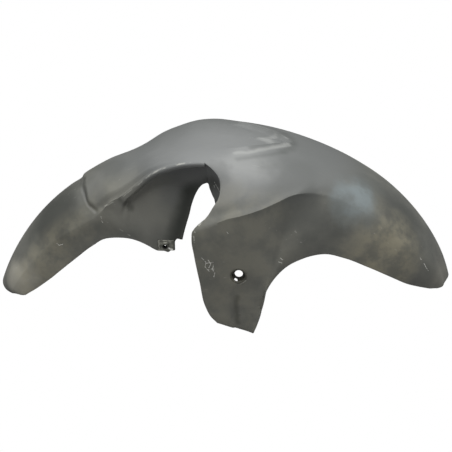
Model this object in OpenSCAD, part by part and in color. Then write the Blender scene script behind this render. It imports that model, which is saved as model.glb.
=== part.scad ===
// Motorcycle front mudguard: one moulded skin with a spring clip nut on each inner tab.
// Millimetres. X runs to the nose, Y to the bike's left, Z up. It stands on the tail and the two wing corners.

/* [Skin] */
// Radius of the crown line about the wheel axle
crown_radius = 336; // [326:1:344]
// Wall thickness of the moulding
wall = 2.6; // [2:0.1:3]
// Half of the width over the wings at their crease
wing_half_width = 124; // [121:0.5:128]
// Angle of the tail end behind the upright
tail_angle = 69.6; // [69:0.1:70]
// Angle of the nose end ahead of the upright
nose_angle = 64.1; // [63.7:0.1:64.9]
// Angle of the fork notch behind the upright
notch_angle = 4.6; // [4.6:0.1:4.8]
// Height of the raised panel on top of the tail
panel_rise = 2.8; // [1.5:0.1:3.5]
// Angle of the rear end of the raised panel
panel_angle = 35.5; // [34.5:0.5:37]
// Depth of the spear pressed into the hood
spear_depth = 2.4; // [1:0.1:3]
// Half width of the spear
spear_half_width = 33; // [28:1:36]
// Angle of the point of the spear
spear_angle = 15.5; // [13:0.5:17]

/* [Wing] */
// Angle of the front corner at the bottom of a wing
corner_angle = 18.9; // [18.5:0.1:19.3]
// Radius of that corner about the wheel axle
corner_radius = 115.5; // [114:0.1:116]
// Angle of the bolt hole
bolt_angle = 5.6; // [5:0.1:6]
// Radius of the bolt hole about the wheel axle
bolt_radius = 193.7; // [190:0.1:197]
// Diameter of the bolt hole in the floor of the recess
bolt_hole = 10.4; // [9:0.1:11]
// Diameter of the recess
recess = 16; // [15:0.5:17]
// Depth of the recess, to its floor
recess_depth = 7; // [6:0.5:8]
// Width of the wall round the recess
recess_wall = 2.4; // [2:0.1:3]
// Diameter of the dished mouth of the recess
mouth = 21; // [20:0.5:23]
// Depth of the dished mouth
mouth_depth = 2; // [1:0.1:2.4]
// Diameter of the break in the wall of the right-hand recess
break_hole = 3.4; // [2.5:0.1:4]

/* [Tab and clip nut] */
// Height of the tab's lower edge over the wheel axle
tab_low = 194.9; // [194:0.1:195.5]
// How far behind the wheel axle the tab's front edge is
tab_front = 69.2; // [68.8:0.1:69.6]
// Diameter of the screw hole in the tab
tab_hole = 8; // [7:0.1:8.5]
// Sheet thickness of the clip nut
clip_sheet = 0.9; // [0.7:0.1:1.1]
// Length of the clip nut from its fold
clip_length = 19.5; // [19:0.5:20]
// Height of the clip nut
clip_height = 14.4; // [14:0.1:14.8]
// Clearance between the clip nut and the tab
clip_gap = 0.15; // [0.1:0.05:0.2]
// Distance from the tab's front edge to the thread
thread_back = 10; // [9.4:0.1:10.6]
// Diameter of the thread, measured at its crest
thread = 5; // [4.8:0.1:5.4]
// Outside diameter of the collar that carries the thread
collar = 9; // [8.4:0.1:9.6]
// How far the collar stands off the outer leg
collar_height = 3; // [2:0.1:3.5]

/* [Hidden] */
drawn_radius = 336;
drawn_half_width = 124;
spread = wing_half_width / drawn_half_width;
grow = crown_radius / drawn_radius;
rest_height = corner_radius * cos(corner_angle);
tab_half_width = 61.5;
tab_end = atan(tab_front / tab_low);
black = [0.22, 0.22, 0.21];
zinc = [0.55, 0.55, 0.52];
$fn = 32;

// Stations, as angles from the upright, tail first and nose last
rear_at = [
    -tail_angle, -67.5, -64, -60, -56, -52, -48, -44.5, -41, -38.5, -37, -35.8, -34.6, -33.2, -31.6, -30, -28.5, -27.2,
    -26.2, -25.2, -24, -21, -20, -18.5, -15.8, -13, -11, -9, -7, -notch_angle
];
front_at = [
    -notch_angle, -3.2, -1.6, 0, 2, 4, 6, 8, 10, 12.5, 15, 16.2, 17.5, 18.7, 20, 21.2, 22.5, 24, 26, 28, 30, 32.5, 35.5,
    39, 43, 47, 51, 54.5, 57.5, 60, 62.5, nose_angle
];
rear_stations = len(rear_at) - 1;
front_stations = len(front_at) - 1;
notch_at = -notch_angle;

// Rows across one side: crown to shoulder, then shoulder to edge
top_rows = 8;
side_rows = 11;
hood_rows = 5;
half_rows = top_rows + side_rows;

// The tables are drawn for the drawn radius and half width, and place() brings them to the sizes above.
// Crown line: station, drop below the drawn radius
crown_line = [
    [-70, -0.6], [-60, 0], [-48, 1], [-37, 3.5], [-28, 6], [-22, 10.5], [-16, 9], [-5, 3.8], [6, 3], [20, 1.5],
    [32, -1], [42, -2], [50, -1], [58, 2.5], [66, 9.5]
];

// Shoulder and ridge line: station, half width, drop, slope of the skin there
shoulder_line = [
    [-70, 34, 21.5, 50], [-65, 48, 22.5, 52], [-60, 54, 26, 55], [-48, 57.5, 34, 58], [-39, 61, 41.5, 58], [-34, 63, 42, 54],
    [-29.2, 66, 34.5, 46], [-26.3, 68, 33, 40], [-21.4, 70.5, 25, 32], [-17, 73, 15, 26], [-13.3, 75.5, 10.5, 23],
    [-9, 79, 7.5, 22], [-4.6, 81, 8, 22], [1.5, 83, 13, 25], [6, 82, 14.5, 26], [11, 78, 14.5, 25],
    [16, 70, 12.5, 22], [22, 58, 9, 18], [30, 50, 6.5, 17], [40, 46, 5, 17], [50, 40, 6.5, 17], [58, 32, 11, 17],
    [66, 22, 20, 16]
];

// Crease line over the wing: station, angle, half width, drop, slope above, slope below
crease_line = [
    [-4.6, -8.6, 119.5, 82.8, 67, 84], [-1.6, -4, 122.5, 75.5, 62, 86], [3.4, 1.2, 124, 65, 55, 88],
    [6.8, 4.2, 123.5, 60.5, 51, 90], [13.4, 9.8, 116, 49, 43, 92], [17.3, 13.2, 108, 38.5, 36, 92],
    [19.3, 15.6, 100, 31, 34, 90], [21.4, 18.2, 92, 26.7, 34, 84], [24.2, 21.9, 83, 24, 38, 70],
    [26, 24.3, 79, 23, 41, 60], [32.5, 32, 74, 22, 46, 54], [40, 40, 70, 21, 50, 53], [50, 50, 62, 21, 52, 53],
    [58, 57.8, 49, 21.5, 52, 52], [64.5, 63.6, 34.5, 27.5, 48, 48]
];

// Bottom edge of the wing, to its front corner: station, angle, half width, radius
wing_edge = [
    [-4.6, -3.4, 121, 125], [2, 2.8, 120.5, 120.5], [9, 10.6, 120, 117.2],
    [15, corner_angle, 119, corner_radius / grow]
];

// Front edge of the wing and lower edge of the nose
nose_edge = [
    [15, corner_angle, 119, corner_radius / grow], [17.5, 18.4, 118, 148.5], [20, 17.6, 115, 175.3], [22, 18.4, 112, 191],
    [24.5, 20.8, 105, 210.1], [28, 25.1, 96, 228.1], [32, 30.3, 88, 243.6], [37, 36.2, 84, 252.7], [44, 43.6, 79, 261.7],
    [51, 50.8, 72, 273], [56, 55.6, 63.5, 282], [60, 58.7, 54, 290.2], [64.5, 61.4, 44, 298.9]
];

// Free edge from the end of the ridge, round the notch and down the wing: row, angle, half width, radius
notch_edge = [
    [0, -4.6, 81, 328], [0.12, -2.6, 88.7, 320.9], [0.22, -1.45, 94, 314.5], [0.31, -0.93, 98, 308.3],
    [0.42, -0.84, 102, 300.2], [0.56, -1.3, 106.5, 289.6], [0.69, -2.7, 110.1, 279.3], [0.82, -4.5, 113.9, 268],
    [0.94, -7.4, 117.4, 258.5], [1, -8.6, 119.5, 253.2], [1.05, -9, 120.3, 246], [1.25, -9.2, 121.7, 221.8],
    [1.55, -8.9, 123, 184.7], [1.8, -8.3, 123, 150], [1.92, -6.3, 122.5, 134.6], [2, -3.4, 121, 125]
];

// Lower edge of the tail and of the pocket wall, up to its lower front corner
tab_low_drawn = tab_low / grow;
tab_chamfer = 5;
tail_edge = [
    [-69.6, -67.2, 48, 296.3], [-64, -62.7, 56, 285.6], [-60, -59, 58.5, 278.6], [-54.5, -54.5, 60, 272.8],
    [-48, -48, 61.5, 267.6], [-41, -41, 62.5, 265], [-37.5, -36.6, 62.8, 262.3], [-34, -31, 62.5, 247.1],
    [-31.6, -28.9, 62, 238], [-30, -27.6, 61.8, 231], [-28.5, -26.4, tab_half_width, 223.8],
    [-27, -25.4, tab_half_width, 217.8], [-26, -24.6, tab_half_width, 214.4],
    [-25, -23.7, tab_half_width, tab_low_drawn / cos(23.7)], [-24, -22.7, tab_half_width, tab_low_drawn / cos(22.7)],
    [-21, -tab_end - 1.15, tab_half_width, tab_low_drawn / cos(tab_end + 1.15)],
    [-20, -tab_end, tab_half_width, tab_low_drawn / cos(tab_end) + tab_chamfer],
    [-18.5, -17.4, tab_half_width, 220.9], [-15.8, -15.2, 60.5, 218.9]
];

// Front edge of the pocket wall, up to the top of its arch
arch_edge = [
    [-15.8, -15.2, 60.5, 218.9], [-13, -11.2, 58.5, 250], [-11, -9.9, 58, 263.5], [-9, -8.2, 58, 278.2],
    [-7, -6.5, 58.5, 288.4], [-4.6, -4.6, 60, 292.5]
];

// Curve tools: a smooth step, and a smooth line through the rows of a table
function ease(t, a, b) = let (k = min(1, max(0, (t - a) / (b - a)))) k * k * (3 - 2 * k);
function step_of(table, s, i = 0) = (i < len(table) - 2 && s >= table[i + 1][0]) ? step_of(table, s, i + 1) : i;
function rate(table, i) = (table[i + 1] - table[i]) / (table[i + 1][0] - table[i][0]);
function tangent(table, i) =
    i == 0 ? rate(table, 0)
    : i == len(table) - 1 ? rate(table, i - 1)
    : let (back = table[i][0] - table[i - 1][0], ahead = table[i + 1][0] - table[i][0])
      (rate(table, i - 1) * ahead + rate(table, i) * back) / (back + ahead);
function along(table, s) =
    let (
        i = step_of(table, s),
        h = table[i + 1][0] - table[i][0],
        u = min(1, max(0, (s - table[i][0]) / h)),
        v = 1 - u
    )
    table[i] * (1 + 2 * u) * v * v + tangent(table, i) * h * u * v * v
    + table[i + 1] * u * u * (1 + 2 * v) - tangent(table, i + 1) * h * u * u * v;
function cubic(a, b, c, d, u) =
    let (v = 1 - u) a * v * v * v + b * 3 * u * v * v + c * 3 * u * u * v + d * u * u * u;
function falling(slope) = [cos(slope), -sin(slope)];
function bow(a, b, slope_a, slope_b, reach, u) =
    let (l = reach * norm(b - a)) cubic(a, a + l * falling(slope_a), b - l * falling(slope_b), b, u);

// A point of the skin: angle from the upright, half width, radius
function place(p) = [p[2] * grow * sin(p[0]), -p[1] * spread, p[2] * grow * cos(p[0])];

// Raised panel on the tail, the gutter between it and the ridge, and the spear in the hood, as height over the
// plain skin at a station and half width
panel_margin = 5.5;
gutter_depth = 3.2;
function panel(s, w, ridge) =
    let (corner = 0.8 * pow(w / 50, 2) + 1.6 * pow(max(0, (w - 46) / 12), 3))
    panel_rise * ease(s, corner - panel_angle - 1, corner - panel_angle + 0.4)
    * (1 - ease(w, ridge - panel_margin - 1.5, ridge - panel_margin + 1.5)) * (1 - ease(s, -24, -10));
function gutter(s, w, ridge) =
    -gutter_depth * ease(w, ridge - 8, ridge - 4) * (1 - ease(w, ridge - 3, ridge))
    * ease(s, 1 - panel_angle, 4 - panel_angle) * (1 - ease(s, -20, -8));
function spear_edge(s) = spear_half_width * (1 - pow(max(0, (s - 1) / (spear_angle - 1)), 2));
function spear(s, w) =
    s > spear_angle ? 0
    : -spear_depth * (1 - ease(w, spear_edge(s) - 5, spear_edge(s))) * ease(s, -15, -9)
      * (1 - ease(s, spear_angle - 9, spear_angle));

end_bulge = 0.72;
function crown_row(j) = let (x = j / top_rows) x + 0.4 * x * (1 - x);
function crown_top(s, j) =
    let (
        c = drawn_radius - along(crown_line, s)[1],
        e = along(shoulder_line, s),
        k = [e[1], drawn_radius - e[2]],
        l = norm(k - [0, c]),
        u = crown_row(j),
        q = cubic([0, c], [0.42 * k[0], c], k - 0.3 * l * falling(e[3]), k, u)
    )
    [s - end_bulge * ease(-s, 64, 70) * 4 * u * (1 - u), q[0], q[1] + panel(s, q[0], k[0]) + (j < top_rows ? gutter(s, q[0], k[0]) : 0) + spear(s, q[0])];

// Side of the hood, wing and nose: row 0 at the shoulder, 1 at the crease, 2 at the edge. The skin leaves the
// shoulder more steeply than it comes to it, and the wing is tucked in below its fold.
edge_slope = 88;
shoulder_break = 16;
tuck_depth = 2.5;
notch_reach = 22;
function front_row(k) =
    k <= hood_rows ? k / hood_rows : let (x = (k - hood_rows) / (side_rows - hood_rows)) 1 + x + 0.25 * x * (1 - x);
function front_plain(s, v) =
    let (
        e = along(shoulder_line, s),
        c = along(crease_line, s),
        l = s < 15 ? along(wing_edge, s) : along(nose_edge, s),
        a = [e[1], drawn_radius - e[2]],
        b = [c[2], drawn_radius - c[3]],
        q = v <= 1 ? bow(a, b, e[3] + shoulder_break * (1 - ease(s, 6, 24)), c[4], 0.36, v)
            : bow(b, [l[2], l[3]], c[5], edge_slope, 0.3, v - 1),
        t = v <= 1 ? s + (c[1] - s) * v * v : c[1] + (l[1] - c[1]) * (v - 1),
        tuck = tuck_depth * ease(v, 1.45, 1.9) * ease(t, 5.4, 8) * (1 - ease(s, 13, 19))
    )
    [t, q[0] - tuck, q[1]];
function front_side(s, k) =
    let (
        v = front_row(k),
        f = along(notch_edge, v),
        miss = [f[1], f[2], f[3]] - front_plain(notch_at, v)
    )
    front_plain(s, v) + miss * (1 - ease(s, notch_at, notch_at + notch_reach));

// Side of the tail, then ridge fold, roof and wall of the fork pocket
side_share = [0, 0.08, 0.16, 0.25, 0.34, 0.44, 0.54, 0.64, 0.74, 0.83, 0.92, 1];
roof_drop = 13;
function rear_side(s, k) =
    let (
        e = along(shoulder_line, s),
        w = e[1],
        r = drawn_radius - e[2],
        l = s < -15.8 ? along(tail_edge, s) : along(arch_edge, s),
        flat = ease(s, -34, -30),
        deep = ease(s, -30.5, -25.2),
        puff = 1.6 * ease(s, -26, -17),
        f = side_share[k],
        round = bow([w, r], [l[2], l[3]], e[3] + 12, edge_slope, 0.3, f),
        plain = round * (1 - flat) + [w + (l[2] - w) * f, r + (l[3] - r) * f] * flat,
        low = r - roof_drop,
        foot = l[2] - 1.5 * ease(s, -27, -25) * (1 - ease(s, -20, -14)),
        wall_r = low - l[3],
        pocket = [
            [w, r], [w + puff, r - 1.8], [w + puff, r - 4.4], [w - 0.6, r - 7], [w - 5, r - 8.4], [foot + 2, r - 9.8],
            [foot, low], [foot, low - wall_r * 0.2], [foot, low - wall_r * 0.4],
            [foot + (l[2] - foot) * 0.6, low - wall_r * 0.6], [l[2], low - wall_r * 0.8], [l[2], l[3]]
        ][k],
        q = plain * (1 - deep) + pocket * deep
    )
    [s + (l[1] - s) * f, q[0], q[1]];

// One line of points across the moulding at a station, right edge first
function side_line(s, rear) = [
    for (j = [half_rows:-1:top_rows + 1]) rear ? rear_side(s, j - top_rows) : front_side(s, j - top_rows),
    for (j = [top_rows:-1:0]) crown_top(s, j)
];
function mirrored(line) = [for (j = [len(line) - 2:-1:0]) [line[j][0], -line[j][1], line[j][2]]];
function full_line(s, rear) = let (half = side_line(s, rear)) [for (p = concat(half, mirrored(half))) place(p)];

rear_skin = [for (i = [0:rear_stations]) full_line(rear_at[i], true)];
front_skin = [for (i = [0:front_stations]) full_line(front_at[i], false)];

// Inward offset of a grid of points by the wall thickness. The two grids share the rows over the hood, so those
// rows take their normal over the joint.
row_count = 2 * half_rows + 1;
function shared_row(j) = j >= side_rows && j <= row_count - 1 - side_rows;
function unit(v) = v / max(norm(v), 0.000001);
function grid_normal(g, i, j, before, after) =
    let (
        back = i > 0 ? g[i - 1][j] : before != undef && shared_row(j) ? before[j] : g[i][j],
        ahead = i < len(g) - 1 ? g[i + 1][j] : after != undef && shared_row(j) ? after[j] : g[i][j],
        left = unit(g[i][max(j - 1, 0)] - g[i][j]),
        right = unit(g[i][min(j + 1, len(g[i]) - 1)] - g[i][j]),
        across = j == 0 ? right : j == len(g[i]) - 1 ? -left : right - left
    )
    unit(cross(ahead - back, across));
// The outermost rows of the front grid run beside the edge, so they take the normal of a row further in
function inner(g, spare, before, after) = [
    for (i = [0:len(g) - 1]) [
        for (j = [0:len(g[i]) - 1])
        g[i][j] - wall * grid_normal(g, i, min(max(j, spare), len(g[i]) - 1 - spare), before, after)
    ]
];

rear_inner = inner(rear_skin, 0, undef, front_skin[1]);
front_inner = inner(front_skin, 3, rear_skin[rear_stations - 1]);
rear_size = (rear_stations + 1) * row_count;
front_size = (front_stations + 1) * row_count;
layer = rear_size + front_size;
function rear_index(i, j) = i * row_count + j;
function front_index(i, j) = (i == 0 && shared_row(j)) ? rear_index(rear_stations, j) : rear_size + i * row_count + j;
function quad(a, b, c, d) = [[a, b, c], [a, c, d]];
function other_quad(a, b, c, d) = [[a, b, d], [b, c, d]];
function index(of_front, i, j) = of_front ? front_index(i, j) : rear_index(i, j);
function sheet(stations, of_front, shift, flip) = [
    for (i = [0:stations - 1], j = [0:row_count - 2])
    let (
        a = index(of_front, i, j) + shift,
        b = index(of_front, i, j + 1) + shift,
        c = index(of_front, i + 1, j + 1) + shift,
        d = index(of_front, i + 1, j) + shift
    )
    each j < half_rows ? (flip ? quad(d, c, b, a) : other_quad(a, b, c, d))
        : (flip ? other_quad(d, c, b, a) : quad(a, b, c, d))
];
function rim(path) = [
    for (i = [0:len(path) - 2]) each quad(path[i], path[i + 1], path[i + 1] + layer, path[i] + layer)
];
last_row = row_count - 1;
rim_path = concat(
    [for (j = [last_row:-1:0]) rear_index(0, j)],
    [for (i = [1:rear_stations]) rear_index(i, 0)],
    [for (j = [1:side_rows]) rear_index(rear_stations, j)],
    [for (j = [side_rows - 1:-1:0]) front_index(0, j)],
    [for (i = [1:front_stations]) front_index(i, 0)],
    [for (j = [1:last_row]) front_index(front_stations, j)],
    [for (i = [front_stations - 1:-1:0]) front_index(i, last_row)],
    [for (j = [last_row - 1:-1:last_row - side_rows]) front_index(0, j)],
    [for (j = [last_row - side_rows + 1:last_row]) rear_index(rear_stations, j)],
    [for (i = [rear_stations - 1:-1:0]) rear_index(i, last_row)]
);

module skin() {
    polyhedron(
        points = concat(
            [for (line = rear_skin) each line],
            [for (line = front_skin) each line],
            [for (line = rear_inner) each line],
            [for (line = front_inner) each line]
        ),
        faces = concat(
            sheet(rear_stations, false, 0, false),
            sheet(front_stations, true, 0, false),
            sheet(rear_stations, false, layer, true),
            sheet(front_stations, true, layer, true),
            rim(rim_path)
        ),
        convexity = 8
    );
}

// Curtain between the skin of the hood and the arch's front leg: top station and row, foot angle, half width, radius
web_line = [
    [-6.6, 4.6, -6.2, 58.6, 294], [-4.6, 4.85, -4.6, 60, 291.5], [-3.6, 5.2, -4.1, 61.8, 283],
    [-2.4, 5.5, -3.4, 63.4, 273.5], [-1, 6, -2.4, 65, 266], [1.5, 6.9, 0, 69, 256], [5, 8.4, 4, 80, 248],
    [8.5, 9.9, 8, 96, 243], [11.5, 11.9, 11.2, 113.8, 240]
];
web_half = 1.1;
function web_top(c) =
    let (p = c[1] <= top_rows ? crown_top(c[0], c[1]) : front_side(c[0], c[1] - top_rows))
    place([p[0], p[1] - 0.3 * wall, p[2] - 0.55 * wall]);
function web_foot(c) = place([c[2], c[3] - 0.5 * wall, c[4]]);
function web_side(k) =
    let (
        a = web_foot(web_line[max(k - 1, 0)]),
        b = web_foot(web_line[min(k + 1, len(web_line) - 1)]),
        d = unit([b[0] - a[0], b[1] - a[1], 0])
    )
    web_half * [-d[1], d[0], 0];
web_count = len(web_line);

module web() {
    polyhedron(
        points = [
            for (k = [0:web_count - 1])
            let (t = web_top(web_line[k]), f = web_foot(web_line[k]), n = web_side(k))
            each [t - n, t + n, f + n, f - n]
        ],
        faces = concat(
            [
                for (k = [0:web_count - 2], m = [0:3])
                let (n = 4 * k, next = (m + 1) % 4)
                each quad(n + m, n + next, n + 4 + next, n + 4 + m)
            ],
            quad(3, 2, 1, 0),
            quad(4 * web_count - 4, 4 * web_count - 3, 4 * web_count - 2, 4 * web_count - 1)
        )
    );
}

// Bolt recess: the skin's half width at the bolt, found on the wing's own rows
bolt_at = [bolt_radius * sin(bolt_angle), bolt_radius * cos(bolt_angle)];
bolt_face = front_plain(4, 1.45)[1] * spread;
over = 1;

module across(depth, at) {
    translate([at[0], -depth, at[1]])
        rotate([-90, 0, 0])
            children();
}

module cup() {
    across(bolt_face - wall / 2, bolt_at)
        cylinder(d = recess + 2 * recess_wall, h = recess_depth + wall - wall / 2);
}

module cup_cuts() {
    across(bolt_face + over, bolt_at)
        cylinder(d = recess, h = recess_depth + over);
    across(bolt_face + over, bolt_at)
        cylinder(d1 = mouth + (mouth - recess) * over / mouth_depth, d2 = recess, h = mouth_depth + over);
    across(bolt_face, bolt_at)
        cylinder(d = bolt_hole, h = recess_depth + wall + over);
}

module cup_break() {
    across(bolt_face - recess_depth + break_hole * 0.6, bolt_at)
        rotate([0, 0, 125])
            rotate([0, 90, 0])
                cylinder(d = break_hole, h = recess / 2 + recess_wall + over);
}

module tab_cut() {
    across(tab_half_width * spread + over, [-tab_front - thread_back, thread_height])
        cylinder(d = tab_hole, h = wall + 2 * over);
}
thread_height = tab_low + 0.6 + clip_height / 2;

// The frame's origin is midway between the tail end and the nose end
tail_x = -grow * (drawn_radius - along(crown_line, -tail_angle)[1]) * sin(tail_angle);
nose_x = grow * (drawn_radius - along(crown_line, nose_angle)[1]) * sin(nose_angle);
middle_x = (tail_x + nose_x) / 2;

module in_frame() {
    translate([-middle_x, 0, -rest_height])
        children();
}

module both_sides() {
    children();
    mirror([0, 1, 0])
        children();
}

module mudguard() {
    color(black)
        in_frame()
            difference() {
                union() {
                    skin();
                    both_sides()
                        web();
                    both_sides()
                        cup();
                }
                both_sides()
                    cup_cuts();
                cup_break();
                both_sides()
                    tab_cut();
            }
}

// Clip nut, drawn from its fold backwards: two legs, the fold, the lip that leads it on to the tab, and the collar
// with the thread
lip = 3;
lip_angle = 35;
module clip_nut() {
    grip = wall + 2 * clip_gap;
    outer_r = grip / 2 + clip_sheet;
    outside = tab_half_width * spread + clip_gap + clip_sheet;
    at = [-tab_front + clip_gap, thread_height];
    difference() {
        union() {
            translate([at[0] - clip_length + lip, -outside, at[1] - clip_height / 2])
                cube([clip_length - lip, clip_sheet, clip_height]);
            translate([at[0] - clip_length + lip, -outside + clip_sheet, at[1] - clip_height / 2])
                rotate([0, 0, 180 + lip_angle])
                    cube([lip / cos(lip_angle), clip_sheet, clip_height]);
            translate([at[0] - clip_length, -outside + clip_sheet + grip, at[1] - clip_height / 2])
                cube([clip_length, clip_sheet, clip_height]);
            translate([at[0], -outside + outer_r, at[1] - clip_height / 2])
                difference() {
                    cylinder(r = outer_r, h = clip_height);
                    translate([0, 0, -over])
                        cylinder(r = grip / 2, h = clip_height + 2 * over);
                    translate([-2 * outer_r, -outer_r - over, -over])
                        cube([2 * outer_r, 2 * outer_r + 2 * over, clip_height + 2 * over]);
                }
            across(outside + collar_height, [-tab_front - thread_back, thread_height])
                cylinder(d = collar, h = collar_height + clip_sheet / 2);
        }
        across(outside + collar_height + over, [-tab_front - thread_back, thread_height])
            cylinder(d = thread, h = collar_height + 2 * outer_r + 2 * over);
    }
}

module clip_nut_right() {
    color(zinc)
        in_frame()
            clip_nut();
}

module clip_nut_left() {
    color(zinc)
        in_frame()
            mirror([0, 1, 0])
                clip_nut();
}

mudguard();
clip_nut_right();
clip_nut_left();
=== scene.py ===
import bpy
import numpy as np
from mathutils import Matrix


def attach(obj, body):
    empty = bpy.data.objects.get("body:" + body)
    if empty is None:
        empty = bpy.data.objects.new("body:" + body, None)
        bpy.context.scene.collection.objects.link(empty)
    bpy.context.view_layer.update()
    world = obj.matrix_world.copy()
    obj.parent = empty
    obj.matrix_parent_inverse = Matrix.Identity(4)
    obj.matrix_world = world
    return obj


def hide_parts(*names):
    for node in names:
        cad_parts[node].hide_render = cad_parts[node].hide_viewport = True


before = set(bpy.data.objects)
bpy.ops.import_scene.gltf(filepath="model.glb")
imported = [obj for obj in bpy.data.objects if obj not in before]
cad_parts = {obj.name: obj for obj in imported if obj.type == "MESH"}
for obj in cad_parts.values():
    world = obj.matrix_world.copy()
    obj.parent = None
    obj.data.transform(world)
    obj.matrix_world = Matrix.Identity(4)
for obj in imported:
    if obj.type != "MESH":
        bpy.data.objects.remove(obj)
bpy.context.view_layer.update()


# The mudguard is one injection moulding of bare grey polypropylene, 2.6 mm thick and open below. Its hood, the fork
# pockets behind it and the flared wings ahead run into each other as one skin, so it is made as one closed sheet.
# Points are (angle from the upright, half width, radius) about the wheel axle in millimetres, the nose positive.
wall = 2.6
crown_radius = 336
tail_angle = -69.6
notch_angle = -4.6
nose_angle = 64.1
axle_height = -109.27
axle_x = 10.1
# Crown line: station, drop below the crown radius
crown_line = [
    [-70, -0.6], [-60, 0], [-48, 1], [-37, 3.5], [-28, 6], [-22, 10.5], [-16, 9], [-5, 3.8], [6, 3], [20, 1.5],
    [32, -1], [42, -2], [50, -1], [58, 2.5], [66, 9.5]
]
# Shoulder and ridge: station, half width, drop, slope of the skin there
shoulder_line = [
    [-70, 34, 21.5, 50], [-65, 48, 22.5, 52], [-60, 54, 26, 55], [-48, 57.5, 34, 58], [-39, 61, 41.5, 58],
    [-34, 63, 42, 54], [-29.2, 66, 34.5, 46], [-26.3, 68, 33, 40], [-21.4, 70.5, 25, 32], [-17, 73, 15, 26],
    [-13.3, 75.5, 10.5, 23], [-9, 79, 7.5, 22], [-4.6, 81, 8, 22], [1.5, 83, 13, 25], [6, 82, 14.5, 26],
    [11, 78, 14.5, 25], [16, 70, 12.5, 22], [22, 58, 9, 18], [30, 50, 6.5, 17], [40, 46, 5, 17], [50, 40, 6.5, 17],
    [58, 32, 11, 17], [66, 22, 20, 16]
]
# Crease over the wing: station, angle, half width, drop, slope above, slope below
crease_line = [
    [-4.6, -8.6, 119.5, 82.8, 67, 84], [-1.6, -4, 122.5, 75.5, 62, 86], [3.4, 1.2, 124, 65, 55, 88],
    [6.8, 4.2, 123.5, 60.5, 51, 90], [13.4, 9.8, 116, 49, 43, 92], [17.3, 13.2, 108, 38.5, 36, 92],
    [19.3, 15.6, 100, 31, 34, 90], [21.4, 18.2, 92, 26.7, 34, 84], [24.2, 21.9, 83, 24, 38, 70],
    [26, 24.3, 79, 23, 41, 60], [32.5, 32, 74, 22, 46, 54], [40, 40, 70, 21, 50, 53], [50, 50, 62, 21, 52, 53],
    [58, 57.8, 49, 21.5, 52, 52], [64.5, 63.6, 34.5, 27.5, 48, 48]
]
# Free edges: station, angle, half width, radius
wing_edge = [[-4.6, -3.4, 121, 125], [2, 2.8, 120.5, 120.5], [9, 10.6, 120, 117.2], [15, 18.9, 119, 115.5]]
nose_edge = [
    [15, 18.9, 119, 115.5], [17.5, 18.4, 118, 148.5], [20, 17.6, 115, 175.3], [22, 18.4, 112, 191],
    [24.5, 20.8, 105, 210.1], [28, 25.1, 96, 228.1], [32, 30.3, 88, 243.6], [37, 36.2, 84, 252.7],
    [44, 43.6, 79, 261.7], [51, 50.8, 72, 273], [56, 55.6, 63.5, 282], [60, 58.7, 54, 290.2], [64.5, 61.4, 44, 298.9]
]
tail_edge = [
    [-69.6, -67.2, 48, 296.3], [-64, -62.7, 56, 285.6], [-60, -59, 58.5, 278.6], [-54.5, -54.5, 60, 272.8],
    [-48, -48, 61.5, 267.6], [-41, -41, 62.5, 265], [-37.5, -36.6, 62.8, 262.3], [-34, -31, 62.5, 247.1],
    [-31.6, -28.9, 62, 238], [-30, -27.6, 61.8, 231], [-28.5, -26.4, 61.5, 223.8], [-27, -25.4, 61.5, 217.8],
    [-26, -24.6, 61.5, 214.4], [-25, -23.7, 61.5, 212.9], [-24, -22.7, 61.5, 211.3], [-21, -20.7, 61.5, 208.3],
    [-20, -19.55, 61.5, 211.8], [-18.5, -17.4, 61.5, 220.9], [-15.8, -15.2, 60.5, 218.9]
]
arch_edge = [
    [-15.8, -15.2, 60.5, 218.9], [-13, -11.2, 58.5, 250], [-11, -9.9, 58, 263.5], [-9, -8.2, 58, 278.2],
    [-7, -6.5, 58.5, 288.4], [-4.6, -4.6, 60, 292.5]
]
# Edge round the notch and down the wing: row (0 shoulder, 1 crease, 2 bottom), angle, half width, radius
notch_edge = [
    [0, -4.6, 81, 328], [0.12, -2.6, 88.7, 320.9], [0.22, -1.45, 94, 314.5], [0.31, -0.93, 98, 308.3],
    [0.42, -0.84, 102, 300.2], [0.56, -1.3, 106.5, 289.6], [0.69, -2.7, 110.1, 279.3], [0.82, -4.5, 113.9, 268],
    [0.94, -7.4, 117.4, 258.5], [1, -8.6, 119.5, 253.2], [1.05, -9, 120.3, 246], [1.25, -9.2, 121.7, 221.8],
    [1.55, -8.9, 123, 184.7], [1.8, -8.3, 123, 150], [1.92, -6.3, 122.5, 134.6], [2, -3.4, 121, 125]
]
# Stations where a table changes over, and how the skin leaves the shoulder, meets the edges and folds in
bottom_ends = 15
arch_begins = -15.8
shoulder_break = 16
tail_break = 12
edge_slope = 88
tuck_depth = 2.5
notch_reach = 22
end_bulge = 0.8
roof_drop = 13
# Relief of the tail: rise of the raised panel, depths of the gutter beside the ridge and of the dip behind the panel
panel_rise = 2.8
gutter_depth = 3.2
dip_depth = 0.7
# Relief of the hood: an arrow from a start angle over a length in degrees, and its heights in millimetres
arrow_half = 46
arrow_start = 2
arrow_length = 12.6
arm_rise = 2.3
hollow_depth = 1.9
spine_rise = 2.1
crest_rise = 0.9
crest_half = 2.6


def ease(t, start, end):
    """Smooth step: 0 before start, 1 after end, three k squared minus two k cubed between them."""
    k = np.clip((t - start) / (end - start), 0, 1)
    return k * k * (3 - 2 * k)


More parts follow.
